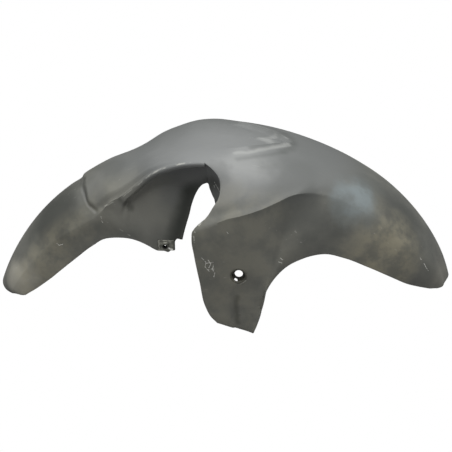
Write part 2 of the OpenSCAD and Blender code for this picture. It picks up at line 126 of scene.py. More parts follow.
def through(x, y, at):
    """Cubic through the rows y at the places x, each tangent the weighted mean of the two slopes beside it."""
    x, y, at = np.array(x, float), np.array(y, float), np.clip(np.asarray(at, float), x[0], x[-1])
    h = np.diff(x).reshape(-1, *[1] * (y.ndim - 1))
    slope = np.diff(y, axis=0) / h
    inside = (slope[:-1] * h[1:] + slope[1:] * h[:-1]) / (h[1:] + h[:-1])
    tangent = np.concatenate([slope[:1], inside, slope[-1:]])
    i = np.clip(np.searchsorted(x, at, side="right") - 1, 0, len(x) - 2)
    gap = (x[i + 1] - x[i]).reshape(*at.shape, *[1] * (y.ndim - 1))
    u = (at - x[i]).reshape(gap.shape) / gap
    v = 1 - u
    return (y[i] * (1 + 2 * u) * v * v + tangent[i] * gap * u * v * v
            + y[i + 1] * (1 + 2 * v) * u * u - tangent[i + 1] * gap * u * u * v)


def along(table, s):
    """The table's columns after the first at the stations s, as separate arrays."""
    rows = np.array(table, float)
    return np.moveaxis(through(rows[:, 0], rows[:, 1:], s), -1, 0)


def bow(a, b, slope_a, slope_b, reach, u):
    """Bezier curve from a to b, leaving and arriving at the falling slopes, its handles reach times the chord."""
    chord = reach * np.hypot(b[0] - a[0], b[1] - a[1])
    turn_a, turn_b, v = np.radians(slope_a), np.radians(slope_b), 1 - u
    c = [a[0] + chord * np.cos(turn_a), a[1] - chord * np.sin(turn_a)]
    d = [b[0] - chord * np.cos(turn_b), b[1] + chord * np.sin(turn_b)]
    return [p * v**3 + 3 * q * u * v * v + 3 * r * u * u * v + t * u**3 for p, q, r, t in zip(a, c, d, b)]


def place(angle, half_width, radius):
    """Millimetres about the axle to metres in the part's frame, right-hand side."""
    turn = np.radians(angle)
    rows = np.broadcast_arrays(radius * np.sin(turn) + axle_x, -half_width, radius * np.cos(turn) + axle_height)
    return np.stack(rows, -1) * 0.001


def crown_top(s, u):
    """Skin from the crown line, u 0, to the shoulder, u 1: one Bezier arch with handles of 0.42 of the half width at
    the crown and 0.3 of the chord at the shoulder, then the relief that is pressed into it: the raised panel on the
    tail, the gutter beside the ridge, and the arrow of two arms and a spine in the hood."""
    crown = crown_radius - along(crown_line, s)[0]
    half, drop, slope = along(shoulder_line, s)
    edge = crown_radius - drop
    chord = 0.3 * np.hypot(half, edge - crown)
    turn, v = np.radians(slope), 1 - u
    w = 1.26 * half * u * v * v + 3 * (half - chord * np.cos(turn)) * u * u * v + half * u**3
    r = crown * v**3 + 3 * crown * u * v * v + 3 * (edge + chord * np.sin(turn)) * u * u * v + edge * u**3
    corner = 0.8 * (w / 50) ** 2 + 1.6 * np.maximum(0, (w - 46) / 12) ** 3
    panel = ease(s, corner - 36.3, corner - 35.3) * (1 - ease(w, half - 7, half - 4.5)) * (1 - ease(s, -24, -10))
    gutter = ease(w, half - 8, half - 4) * (1 - ease(w, half - 3, half))
    gutter = gutter * ease(s, -34.5, -31.5) * (1 - ease(s, -20, -8))
    dip = (1 - ease(s, corner - 37.2, corner - 36.2)) * ease(s, corner - 40, corner - 37.4)
    arm = arrow_half * (1 - (np.clip(s - arrow_start, 0, arrow_length) / arrow_length) ** 1.3)
    out = np.clip(1 - (w - arm) / (3 + 0.26 * arm), 0, 1) * (w >= arm)
    back = (1 - ease(arm - w, 0, 9)) * (w < arm)
    spine = (1 - ease(w, 0, 7)) * ease(s, 4, 8) * (1 - ease(s, 10, 13))
    crest = np.exp(-((w - arm) / crest_half) ** 2)
    arrow = (arm_rise * (out + back) - hollow_depth * (w < arm) * ease(arm - w, 0, 9) + spine_rise * spine
             + crest_rise * crest)
    arrow = arrow * (1 - ease(s, 12.6, 15.2))
    r = (r + panel_rise * panel - gutter_depth * gutter * (u < 1) + arrow * ease(s, -1, 4)
         - dip_depth * dip * (1 - ease(w, half - 9, half - 3)))
    return s - end_bulge * ease(-s, 64, 70) * 4 * u * (1 - u) + 0 * w, w, r


def front_plain(s, v):
    """Side of the hood, v 0 to 1, then wing or nose side, v 1 to 2, before the notch edge pulls on it."""
    half, drop, slope = along(shoulder_line, s)
    angle, crease_half, crease_drop, above, below = along(crease_line, s)
    low = np.where(s < bottom_ends, along(wing_edge, s), along(nose_edge, s))
    a, b = [half, crown_radius - drop], [crease_half, crown_radius - crease_drop]
    upper = bow(a, b, slope + shoulder_break * (1 - ease(s, 6, 24)), above, 0.36, np.minimum(v, 1))
    lower = bow(b, low[1:], below, edge_slope, 0.3, np.maximum(v - 1, 0))
    turned = np.where(v <= 1, s + (angle - s) * np.minimum(v, 1) ** 2, angle + (low[0] - angle) * (v - 1))
    tuck = tuck_depth * ease(v, 1.45, 1.9) * ease(turned, 5.6, 7.4) * (1 - ease(s, 13, 19))
    return turned, np.where(v <= 1, upper[0], lower[0]) - tuck, np.where(v <= 1, upper[1], lower[1])


def front_side(s, v):
    """The plain side, its first stations drawn on to the free edge of the notch."""
    edge, plain = along(notch_edge, v), front_plain(np.full_like(s, notch_angle), v)
    fade = 1 - ease(s, notch_angle, notch_angle + notch_reach)
    return tuple(p + (e - q) * fade for p, e, q in zip(front_plain(s, v), edge, plain))


def rear_side(s, f):
    """Side of the tail, f 0 at the ridge to 1 at the edge, which turns flat and then folds in as the fork pocket."""
    half, drop, slope = along(shoulder_line, s)
    ridge = crown_radius - drop
    angle, low_half, low = np.where(s < arch_begins, along(tail_edge, s), along(arch_edge, s))
    flat, deep, puff = ease(s, -34, -30), ease(s, -30.5, -25.2), 1.6 * ease(s, -26, -17)
    rounded = bow([half, ridge], [low_half, low], slope + tail_break, edge_slope, 0.3, f)
    straight = [half + (low_half - half) * f, ridge + (low - ridge) * f]
    inset = 1.5 * ease(s, -27, -25) * (1 - ease(s, -20, -14))
    foot = low_half - inset
    share = [0, 0.08, 0.16, 0.25, 0.34, 0.44, 0.54, 0.64, 0.74, 0.83, 0.92, 1]
    fold_w = [half, half + puff, half + puff, half - 0.6, half - 5, foot + 2, foot, foot, foot,
              low_half - inset * 0.4, low_half, low_half]
    wall_r = [ridge - roof_drop + (low - ridge + roof_drop) * k for k in (0, 0.2, 0.4, 0.6, 0.8, 1)]
    fold_r = [ridge, ridge - 1.8, ridge - 4.4, ridge - 7, ridge - 8.4, ridge - 9.8, *wall_r]
    rows = np.stack([np.stack(fold_w), np.stack(fold_r)], -1)[..., 0, :]
    pocket = np.moveaxis(through(share, rows, f[0]), -1, 0).transpose(0, 2, 1)
    w, r = (a * (1 - flat) + b * flat for a, b in zip(rounded, straight))
    return s + (angle - s) * f, w * (1 - deep) + pocket[0] * deep, r * (1 - deep) + pocket[1] * deep


def spaced(places, step):
    """Stations from place to place, about step apart between them and always on them."""
    runs = [np.linspace(a, b, max(2, round((b - a) / step) + 1))[:-1] for a, b in zip(places, places[1:])]
    return np.concatenate([*runs, places[-1:]])[:, None]


# Steps of the three patches that share their borders, fine enough to be smooth
rear_at = spaced([tail_angle, -64, -38, -33, -24, -21, -20, -18.5, arch_begins, notch_angle], 0.64)
front_at = spaced([notch_angle, bottom_ends, 26, nose_angle], 0.62)
top_at = np.concatenate([rear_at, front_at[1:]])
over = np.linspace(0, 1, 53)[None]
down_front = np.concatenate([np.linspace(0, 1, 25), np.linspace(1, 2, 43)[1:]])[None]
down_rear = np.linspace(0, 1, 49)[None]
patches = [
    place(*crown_top(top_at, over)),
    place(*front_side(front_at, down_front)),
    place(*rear_side(rear_at, down_rear)),
]


def weld(points, quads):
    """Points that share a place become one, and the quads are numbered to suit."""
    _, first, number = np.unique(np.round(points, 7), axis=0, return_index=True, return_inverse=True)
    return points[first], number.reshape(-1)[quads]


def both_sides(points, quads):
    """The mesh with its mirror image on the left-hand side."""
    return np.concatenate([points, points * [1, -1, 1]]), np.concatenate([quads, quads[:, ::-1] + len(points)])


def grid_quads(shape, first):
    """Corner numbers of the quads of a grid of that shape whose points are numbered from first, row by row."""
    n = first + np.arange(shape[0] * shape[1]).reshape(shape)
    return np.stack([n[:-1, :-1], n[:-1, 1:], n[1:, 1:], n[1:, :-1]], -1).reshape(-1, 4)


def closed_sheet(grids, thickness):
    """Welds the grids and their mirror images, offsets them inwards along the point normals, and joins the two layers
    by a rounded rim: three rings on a half ellipse between the outer and the inner edge."""
    starts = np.cumsum([0] + [g[..., 0].size for g in grids])
    points = np.concatenate([g.reshape(-1, 3) for g in grids])
    quads = np.concatenate([grid_quads(g.shape[:2], n) for g, n in zip(grids, starts)])
    points, quads = weld(*both_sides(points, quads))
    facing = np.cross(points[quads[:, 2]] - points[quads[:, 0]], points[quads[:, 3]] - points[quads[:, 1]])
    normals = np.zeros_like(points)
    np.add.at(normals, quads, facing[:, None])
    normals /= np.maximum(np.linalg.norm(normals, axis=1), 1e-12)[:, None]
    if (normals[:, 2] * np.sign(points[:, 2])).sum() < 0:
        normals, quads = -normals, quads[:, ::-1]
    count = len(points)
    edges = np.concatenate([quads[:, [k, (k + 1) % 4]] for k in range(4)])
    edges = edges[edges[:, 0] != edges[:, 1]]
    code = edges[:, 0] * count + edges[:, 1]
    rim = edges[~np.isin(code, edges[:, 1] * count + edges[:, 0])]
    ahead, behind = np.arange(count), np.arange(count)
    ahead[rim[:, 0]], behind[rim[:, 1]] = rim[:, 1], rim[:, 0]
    at = rim[:, 0]
    out = np.cross(points[ahead[at]] - points[behind[at]], normals[at])
    out /= np.maximum(np.linalg.norm(out, axis=1), 1e-12)[:, None]
    rings = [
        points[at] - normals[at] * thickness * (1 - np.cos(t)) / 2 + out * 0.3 * thickness * np.sin(t)
        for t in np.radians([35, 90, 145])
    ]
    order = np.zeros(count, int)
    order[at] = np.arange(len(at))
    layers = [rim, *(2 * count + k * len(at) + order[rim] for k in range(3)), rim + count]
    strips = [np.stack([b[:, 0], b[:, 1], a[:, 1], a[:, 0]], -1) for a, b in zip(layers, layers[1:])]
    return (np.concatenate([points, points - normals * thickness, *rings]),
            np.concatenate([quads, quads[:, ::-1] + count, *strips]))


def mesh_object(name, points, faces):
    """A smooth mesh object from arrays. Corners of a face that were welded together count once."""
    mesh = bpy.data.meshes.new(name)
    mesh.from_pydata(points.tolist(), [], [list(dict.fromkeys(f)) for f in faces.tolist()])
    mesh.shade_smooth()
    mesh.validate()
    made = bpy.data.objects.new(name, mesh)
    bpy.context.scene.collection.objects.link(made)
    return made


def closed_tube(rings):
    """Closed mesh in metres through rings in millimetres, each end drawn in to its middle. The faces point outwards,
    which the sign of the sum of their corners' triple products tells."""
    count = rings.shape[1]
    first, last = (np.repeat(rings[k].mean(0)[None, None], count, 1) for k in (0, -1))
    rings = np.concatenate([first, rings, last])
    wrapped = np.arange(len(rings))[:, None] * count + np.arange(count + 1) % count
    quads = wrapped.reshape(-1)[grid_quads((len(rings), count + 1), 0)]
    points, quads = weld(rings.reshape(-1, 3) * 0.001, quads)
    a, b, c, d = points[quads].transpose(1, 0, 2)
    return points, quads if (a * (np.cross(b, c) + np.cross(c, d))).sum() > 0 else quads[:, ::-1]


def turned(centre, axis, reach, radius, around=72):
    """Closed solid of revolution: rings of the given radii at the given reaches along the axis. The radii may be one
    column, or a table with a value for each direction."""
    along_axis = np.array(axis, float) / np.linalg.norm(axis)
    side = np.cross(along_axis, [0.2, 0.3, 1])
    side /= np.linalg.norm(side)
    angle = np.linspace(0, 2 * np.pi, around, endpoint=False)
    ring = np.cos(angle)[:, None] * side + np.sin(angle)[:, None] * np.cross(along_axis, side)
    radius = np.broadcast_to(np.reshape(radius, (len(reach), -1)), (len(reach), around))
    return closed_tube(np.array(centre) + np.reshape(reach, (-1, 1, 1)) * along_axis + radius[..., None] * ring)


def combine(piece, tool, operation):
    """Joins the tool to the piece or cuts it away, through one Boolean modifier, and removes the tool."""
    step = piece.modifiers.new("step", "BOOLEAN")
    step.operation, step.solver, step.object = operation, "MANIFOLD", tool
    made = bpy.data.meshes.new_from_object(piece.evaluated_get(bpy.context.evaluated_depsgraph_get()))
    piece.modifiers.clear()
    piece.data, old = made, piece.data
    bpy.data.meshes.remove(old)
    bpy.data.objects.remove(tool)


mudguard = mesh_object("mudguard_skin", *closed_sheet(patches, wall * 0.001))

# Curtains under the hood, from the arch of each fork pocket forward to the wing: station, row (0 crown, 1 shoulder,
# 2 crease), angle, half width and radius of the free lower edge
curtain_half = 1.1
curtain = np.array([
    [-6.6, 0.673, -6.2, 58.6, 294], [-4.6, 0.702, -4.6, 60, 291.5], [-3.6, 0.741, -4.1, 61.8, 283],
    [-2.4, 0.773, -3.4, 63.4, 273.5], [-1, 0.825, -2.4, 65, 266], [1.5, 0.91, 0, 69, 256], [5, 1.08, 4, 80, 248],
    [8.5, 1.38, 8, 96, 243], [11.5, 1.78, 11.2, 113.8, 240],
])
station, row, angle, half, low = through(np.arange(9), curtain, np.linspace(0, 8, 65)).T
over_top, beside = crown_top(station, np.minimum(row, 1)), front_side(station, np.clip(row - 1, 0, 2))
top_line = [np.where(row <= 1, p, q) for p, q in zip(over_top, beside)]
head = place(top_line[0], top_line[1] - 0.3 * wall, top_line[2] - 0.55 * wall) * 1000
foot = place(angle, half - 0.5 * wall, low) * 1000
ahead = np.gradient(foot, axis=0) * [1, 1, 0]
across = curtain_half * np.cross([0, 0, 1], ahead / np.linalg.norm(ahead, axis=1)[:, None])
fall = curtain_half * (foot - head) / np.linalg.norm(foot - head, axis=1)[:, None]
round_foot = [foot + across * np.cos(k) + fall * np.sin(k) for k in np.radians([0, 36, 72, 108, 144, 180])]
curtains = closed_tube(np.stack([head - across, head + across, *round_foot], 1))
combine(mudguard, mesh_object("curtains", *both_sides(*curtains)), "UNION")

# Bolt recess in each wing: a boss inside, a dished mouth, the recess and the hole in its floor. The depths run
# inwards from the face of the wing, each with its radius.
bolt_angle, bolt_radius = np.radians(5.6), 193.7
bolt_face = front_plain(np.array([4.0]), np.array([1.45]))[1][0]
bolt_x, bolt_z = bolt_radius * np.sin(bolt_angle) + axle_x, bolt_radius * np.cos(bolt_angle) + axle_height
bolt_spot, inwards = [bolt_x, -bolt_face, bolt_z], [0, 1, 0]
boss = turned(bolt_spot, inwards, [wall / 2, 8.6, 9.2, 9.6], [10.4, 10.4, 10.2, 9.6])
combine(mudguard, mesh_object("bosses", *both_sides(*boss)), "UNION")
bore_depth = [-1, -0.3, 0, 0.3, 0.8, 1.4, 2, 2.6, 6.2, 6.8, 7, 7, 7.3, 11]
bore_radius = [12.4, 11.4, 10.7, 10.1, 9.3, 8.6, 8.2, 8, 8, 7.8, 7.2, 5.5, 5.2, 5.2]
bore = turned(bolt_spot, inwards, bore_depth, bore_radius)
combine(mudguard, mesh_object("recesses", *both_sides(*bore)), "DIFFERENCE")

# The wall of the right-hand recess is broken through where it meets the floor, low on its tail side
spin = np.linspace(0, 2 * np.pi, 40, endpoint=False)
frayed = 1.9 * (1 + 0.14 * np.sin(2 * spin + 0.6) + 0.09 * np.sin(5 * spin) + 0.06 * np.sin(9 * spin + 1))
break_spot, break_axis = [bolt_x - 3.3, 3.3 - bolt_face, bolt_z - 6.2], [-0.06, 0.87, -0.49]
broken = turned(break_spot, break_axis, [0, 9], np.stack([frayed, 1.15 * frayed]), 40)
combine(mudguard, mesh_object("break", *broken), "DIFFERENCE")

# Screw hole in the tab at the foot of each fork pocket
screw_x, screw_z, tab_face = -69.1, 93.43, 61.5
screw_hole = turned([screw_x, -tab_face, screw_z], inwards, [-1, 4], [4, 4], 40)
combine(mudguard, mesh_object("screw_holes", *both_sides(*screw_hole)), "DIFFERENCE")

mudguard.data.set_sharp_from_angle(angle=np.radians(38))
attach(mudguard, "root")
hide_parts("mudguard")


class Wire:
    """A socket of the material being built. Sums, products and differences of wires are Math nodes."""

    tree = None

    def __init__(self, socket):
        self.socket = socket

    @classmethod
    def node(cls, kind, settings=(), values=(), output=0):
        """Adds a node of that kind with its settings and input values, and gives the chosen output."""
        made = cls.tree.nodes.new("ShaderNode" + kind)
        for name, value in dict(settings).items():
            setattr(made, name, value)
        for name, value in dict(values).items():
            if isinstance(value, Wire):
                cls.tree.links.new(value.socket, made.inputs[name])
            else:
                made.inputs[name].default_value = value
        return cls(made.outputs[output])

    def math(self, operation, *others):
        """This wire and the others through one Math node."""
        values = {k: v for k, v in enumerate((self, *others))}
        return Wire.node("Math", {"operation": operation}, values)

    def __add__(self, other):
        return self.math("ADD", other)

    def __sub__(self, other):
        return self.math("SUBTRACT", other)

    def __mul__(self, other):
        return self.math("MULTIPLY", other)

    def vector(self, operation, other=(0, 0, 0), output=0):
        """This wire and the other through one Vector Math node."""
        return Wire.node("VectorMath", {"operation": operation}, {0: self, 1: other}, output)

    def split(self):
        """The x, y and z of this wire."""
        outputs = Wire.node("SeparateXYZ", values={0: self}).socket.node.outputs
        return [Wire(outputs[k]) for k in range(3)]

    def rise(self, start, end):
        """Smooth step of this wire from 0 at start to 1 at end."""
        values = {"Value": self, "From Min": start, "From Max": end}
        return Wire.node("MapRange", {"interpolation_type": "SMOOTHSTEP"}, values)

    def mix(self, first, second):
        """The first colour where this wire is 0 and the second where it is 1."""
        return Wire.node("Mix", {"data_type": "RGBA"}, {0: self, 6: first, 7: second}, 2)


def start_material(name):
    """A new material whose Principled shader is returned, with its tree open for wires."""
    made = bpy.data.materials.new(name)
    made.use_nodes = True
    Wire.tree = made.node_tree
    return made, made.node_tree.nodes["Principled BSDF"]


def feed(shader, **wires):
    """Links wires to the shader's inputs, an underscore standing for a space."""
    for name, wire in wires.items():
        Wire.tree.links.new(wire.socket, shader.inputs[name.replace("_", " ")])


def noise(at, scale, detail=3, output=0):
    """Noise of that many waves a metre at the place."""
    return Wire.node("TexNoise", values={"Vector": at, "Scale": scale, "Detail": detail}, output=output)


def strayed(at, scale, reach):
    """The place moved by noise of that scale, up to half the reach in metres each way."""
    shift = noise(at, scale, 3, 1).vector("SUBTRACT", (0.5, 0.5, 0.5)).vector("MULTIPLY", (reach, reach, reach))
    return at.vector("ADD", shift)


def blob(at, centre, radius):
    """1 at the centre in metres, falling smoothly to 0 at the radius."""
    return at.vector("DISTANCE", centre, 1).rise(radius, radius * 0.25)


def strongest(masks):
    """The largest of the masks at each point."""
    total, *others = masks
    for mask in others:
        total = total.math("MAXIMUM", mask)
    return total


def line(at, a, b, width, weight, core):
    """1 up to the core, a share of the width, from the line between a and b in millimetres, and 0 at the width. An
    axis of small weight counts for little, so that a mark lies on the skin even where the line between its ends
    leaves it."""
    flat = np.array(weight) * 0.001
    start, run = np.array(a) * flat, (np.array(b) - np.array(a)) * flat
    from_start = at.vector("MULTIPLY", weight).vector("SUBTRACT", tuple(start))
    share = from_start.vector("DOT_PRODUCT", tuple(run / (run @ run)), 1).math("MINIMUM", 1).math("MAXIMUM", 0)
    nearest = Wire.node("VectorMath", {"operation": "SCALE"}, {0: tuple(run), "Scale": share})
    return from_start.vector("DISTANCE", nearest, 1).rise(width * 0.001, width * core * 0.001)


def path(at, places, width, weight=(1, 0.3, 1), core=0.4):
    """The lines between places in turn, as one mask."""
    return strongest([line(at, a, b, width, weight, core) for a, b in zip(places, places[1:])])


plastic, surface = start_material("worn_plastic")
where = Wire.node("TexCoord", output=3)
x, y, z = where.split()
right_hand = Wire.node("CombineXYZ", values={0: x, 1: y.math("ABSOLUTE") * -1, 2: z})
cloud = noise(where, 9, 5)
mottle = noise(where, 38, 4)
fleck = noise(where, 170, 4)
grain = noise(where, 1100, 2)
wander = strayed(where, 24, 0.05)
soft = strayed(right_hand, 60, 0.006)
ragged = strayed(where, 420, 0.0022)

# Bare plastic, darker and lighter in clouds, and cooler on top
grey = (cloud * 0.5 + mottle * 0.5).rise(0.36, 0.64).mix((0.076, 0.078, 0.071, 1), (0.106, 0.107, 0.095, 1))
grey = z.rise(0.165, 0.2).mix(grey, (0.088, 0.092, 0.09, 1))
# Paler and darker places, three of them painted light: centre in metres, radius, strength, colour
for centre, radius, strength, colour in [
    # Painted light: the top of the hood made paler where the light from above falls on it
    ((-0.01, -0.04, 0.225), 0.12, 0.75, (0.14, 0.145, 0.144, 1)),
    # Painted highlight on the hood's near shoulder
    ((0.035, -0.076, 0.214), 0.05, 0.5, (0.19, 0.195, 0.19, 1)),
    ((-0.215, -0.035, 0.122), 0.075, 0.9, (0.036, 0.038, 0.034, 1)),
    ((-0.165, -0.04, 0.163), 0.035, 0.5, (0.13, 0.132, 0.124, 1)),
    ((-0.103, -0.06, 0.15), 0.06, 0.6, (0.16, 0.16, 0.142, 1)),
    ((-0.085, -0.06, 0.125), 0.05, 0.3, (0.13, 0.13, 0.115, 1)),
    ((0.092, -0.08, 0.202), 0.05, 0.4, (0.062, 0.065, 0.062, 1)),
    ((0.235, -0.045, 0.143), 0.065, 0.75, (0.042, 0.044, 0.041, 1)),
    ((0.0, -0.124, 0.085), 0.07, 0.25, (0.06, 0.06, 0.052, 1)),
    ((-0.27, -0.052, 0.028), 0.04, 0.7, (0.34, 0.33, 0.28, 1)),
    ((0.293, -0.028, 0.048), 0.035, 0.5, (0.19, 0.185, 0.155, 1)),
    ((-0.142, -0.02, 0.183), 0.03, 0.5, (0.062, 0.065, 0.062, 1)),
    ((0.195, -0.03, 0.175), 0.035, 0.5, (0.06, 0.065, 0.062, 1)),
    # Painted highlight on the edge of the notch
    ((0.013, -0.103, 0.19), 0.022, 0.45, (0.17, 0.17, 0.155, 1)),
    ((0.0, -0.088, 0.211), 0.02, 0.5, (0.075, 0.078, 0.075, 1)),
]:
    grey = (blob(wander, centre, radius) * strength).mix(grey, colour)

# Painted shade and painted highlight along the relief of both sides, in this order: painted shade under the wing's
# fold, in the hollow of the hood's arrow, outside its arms and round its point; painted highlight, with some rub, on
# its arms and its spine; painted shadow in the tail's step and painted highlight on its lip below; painted shade at
# the rear corner of the fork pocket, in the low crease of the wing, and up the pocket's front to its arch. Places in
# millimetres, width, strength, colour, weights of the axes
# Colours: painted shade, a deeper painted shade, and a pale colour for painted highlight with some rub
painted_shade, shade, pale = (0.05, 0.053, 0.05, 1), (0.022, 0.025, 0.021, 1), (0.24, 0.245, 0.235, 1)
above, beside = (1, 1, 0.3), (1, 0.3, 1)
for places, width, strength, colour, weight in [
    ([(5, -123, 161), (17, -120, 168), (31, -121, 170), (60, -113, 176), (78, -105, 182), (93, -98, 187),
      (112, -90, 186)], 16, 0.45, painted_shade, beside),
    ([(41, -41, 221), (58, -31, 220), (74, -15.6, 217)], 9, 0.4, painted_shade, above),
    ([(25, -69, 218), (40, -63, 218), (61.5, -50, 217), (80, -35.5, 215)], 7, 0.3, painted_shade, above),
    ([(80, -32, 216), (87, -21, 215), (91, 0, 214)], 12, 0.4, painted_shade, above),
    ([(21, -57.7, 221), (35.5, -53, 220), (57, -37, 219), (76, -20, 216.5), (86, -10, 215)], 5.5, 0.5, pale, above),
    ([(50, 0, 219), (60, -5, 218), (65, -12, 217.6)], 9, 0.35, pale, above),
    ([(-179.7, -16, 163), (-175.7, -34.7, 154), (-168.6, -48.5, 145.7), (-157.5, -58, 139.7)],
     5, 0.65, (0.02, 0.021, 0.018, 1), beside),
    ([(-182, -26, 154.4), (-175.5, -40.7, 147), (-168.6, -51, 140.5), (-159, -59.6, 136)], 3.4, 0.35, pale, beside),
    ([(-123, -67.8, 158), (-118, -64, 151.8), (-111, -61.6, 144)], 7, 0.5, (0.025, 0.027, 0.023, 1), beside),
    ([(27, -119.4, 52), (26.7, -118.6, 29), (28, -118, 15.5)], 6, 0.6, (0.026, 0.028, 0.024, 1), beside),
    ([(-57, -61, 98), (-48, -61, 128), (-36, -58, 168)], 20, 0.88, shade, beside),
    ([(-36, -58, 168), (-6, -63, 184)], 16, 0.7, shade, beside),
]:
    grey = (path(soft, places, width, weight, 0) * strength).mix(grey, colour)

# Painted shade fills the bolt recess up to its mouth, and the lower lip of the mouth gets a painted highlight
from_bolt = where.vector("SUBTRACT", (bolt_x * 0.001, 0, bolt_z * 0.001)).vector("MULTIPLY", (1, 0, 1))
recess_shade = from_bolt.vector("LENGTH", output=1).rise(0.0108, 0.0098) * (y * -1).rise(0.105, 0.108)
grey = (recess_shade * 0.85).mix(grey, (0.012, 0.013, 0.011, 1))
lip_highlight = path(where, [(30, -122, 71.8), (34.5, -122, 73.5), (38, -122, 76.8)], 1.5) * fleck.rise(0.35, 0.55)

# Road dust, beige, in blotches low on the nose, on the tail's side and tip, and faintly over the wings
dust_at = (mottle * 0.7 + fleck * 0.3).rise(0.38, 0.62)
nose_dust = blob(wander, (0.212, -0.083, 0.1), 0.075) * 0.6
tail_dust = (x * -1).rise(0.09, 0.3) * (y * -1).rise(0.035, 0.06) * 0.5
wing_dust = (y * -1).rise(0.09, 0.12) * 0.16
dust = strongest([nose_dust, tail_dust, wing_dust]) * (dust_at * 0.7 + 0.3)
coloured = dust.mix(grey, (0.24, 0.22, 0.155, 1))

# A bluish painted sheen high on the nose, over a polished patch that is also made smoother
polish_and_painted_sheen = blob(wander, (0.172, -0.064, 0.17), 0.042) * (dust_at * 0.5 + 0.5)
coloured = (polish_and_painted_sheen * 0.55).mix(coloured, (0.15, 0.185, 0.2, 1))

# Rubbed edges and painted highlights: wear with a painted highlight along the ridge of the fork pocket and round the
# notch, a painted highlight on the recess's lip and along the pocket's seam
ridge = [
    (-151, -60, 143), (-137, -66, 152), (-123, -68, 161), (-110, -70, 172.6), (-96.5, -72.3, 184.7),
    (-83, -73.7, 196.4), (-70.6, -75, 204.6), (-58, -77.3, 209.2), (-45, -79, 213.5), (-33, -80, 216.2)
]
notch = [(-13, -115, 157), (-19, -118, 150), (-24, -120, 143), (-26, -120.5, 137), (-25, -121, 128)]
seam = [(-150, -64.6, 129), (-140, -65.2, 124), (-126, -64, 115), (-111, -62.3, 103.5)]
rub_and_highlight = strongest([
    path(ragged, ridge, 1.1) * noise(where, 75, 4).rise(0.47, 0.6) * 0.4,
    path(ragged, notch, 1.1) * noise(where, 190, 3).rise(0.48, 0.56) * 0.5,
    lip_highlight * 0.5,
    path(ragged, seam, 0.9) * noise(where, 110, 3).rise(0.5, 0.62) * 0.3,
])
coloured = rub_and_highlight.mix(coloured, (0.42, 0.42, 0.38, 1))

# White scratches and chips, each at the place where the photograph has it
strokes = [
    [(-16, -123, 108), (-11, -123.3, 103), (-12, -123.5, 96), (-7, -123.6, 90)],
    [(-8, -123.7, 106), (-5, -123.8, 100), (-7.5, -123.8, 95)],
    [(-1.5, -124, 99), (-3.5, -124, 93), (0, -124, 89), (-1, -123.8, 83)],
    [(-11, -123.5, 101), (-2, -124, 103)],
    [(-9, -123.6, 92.5), (-1, -124, 94)],
    [(-281, -35, 45), (-278.6, -33, 40), (-274, -41, 43), (-272.5, -42, 36)],
    [(-276, -38, 38), (-270, -47, 33)],
    [(-212, -59, 90), (-208, -59.5, 87.5), (-203.5, -60, 90)],
    [(256, -59.5, 88), (259, -58.5, 83.5)],
    [(263, -57, 77), (266, -56, 71), (270, -54, 65)],
    [(246, -62, 96), (249, -61.4, 94)],
    [(78, -109, 99), (82, -107.8, 97)],
    [(80, -108.5, 104), (83, -107.5, 101)],
    [(15, -124, 145), (16.2, -124.1, 143.2)],
    [(-4.7, -64.8, 185), (-1.5, -66, 179), (1.7, -67, 173.3)],
    [(-5.5, -64.8, 180), (-4, -65, 176)],
    [(-150.5, -63.5, 133), (-149.5, -64.2, 130)],
    [(-150, -64.6, 127), (-148.5, -64.8, 124.5)],
]
scratch = strongest([path(ragged, stroke, 0.5) for stroke in strokes])
scratch = scratch * noise(where, 260, 2).rise(0.36, 0.5) * 0.6
# Hairline scratches all over, faint: noise drawn out along one direction
combed = Wire.node("Mapping", values={"Vector": where, "Rotation": (0.3, 0.5, 0.9), "Scale": (16, 520, 160)})
hair = noise(combed, 1.6, 2).rise(0.68, 0.72) * noise(where, 17, 2).rise(0.54, 0.64) * 0.12
coloured = hair.math("MAXIMUM", scratch).mix(coloured, (0.62, 0.62, 0.58, 1))

feed(surface, Base_Color=coloured)
feed(surface, Roughness=cloud.rise(0.3, 0.8) * 0.08 + 0.6 + dust * 0.25 - polish_and_painted_sheen * 0.15)
surface.inputs["Specular IOR Level"].default_value = 0.3
height = grain * 0.00012 + fleck * 0.00025 + cloud * 0.003 - scratch * 0.0002
bump = Wire.node("Bump", values={"Strength": 0.55, "Distance": 1, "Height": height})
feed(surface, Normal=bump)
mudguard.data.materials.clear()
mudguard.data.materials.append(plastic)


# A spring clip nut of zinc-plated sheet, 0.9 mm thick, is pushed over the tab of each fork pocket. Two legs grip the
# tab, the end of the outer leg is bent out as a lead-in, and a drawn collar on that leg carries an M5 thread.
zinc, surface = start_material("zinc_plate")
where = Wire.node("TexCoord", output=3)
patchy = noise(where, 220, 4)
dull = patchy.rise(0.35, 0.7).mix((0.1, 0.102, 0.088, 1), (0.24, 0.24, 0.21, 1))
# Painted highlight on the bent-out lead-in at the end of the outer leg
lead_in_highlight = where.split()[0].rise(-0.0752, -0.0765)
dull = (lead_in_highlight * patchy.rise(0.3, 0.6)).mix(dull, (0.5, 0.5, 0.45, 1))
# Painted glint: a near-white dab on the corner of the outer leg
painted_glint = path(where, [(-65.5, -62.6, 91.4), (-63.6, -62.6, 89), (-60, -62.6, 88.3)], 1.3)
painted_glint = painted_glint * noise(where, 500, 2).rise(0.35, 0.5)
# Painted shade: the bore is coloured nearly black and made rougher
bore_shade = path(where, [(-69.3, -62, 93.4), (-68.9, -62, 93.4)], 5.2)
feed(surface, Base_Color=bore_shade.mix(painted_glint.mix(dull, (0.8, 0.8, 0.76, 1)), (0.008, 0.008, 0.008, 1)))
feed(surface, Roughness=patchy.rise(0.3, 0.7) * 0.2 + 0.38 + bore_shade * 0.3)
surface.inputs["Metallic"].default_value = 0.85

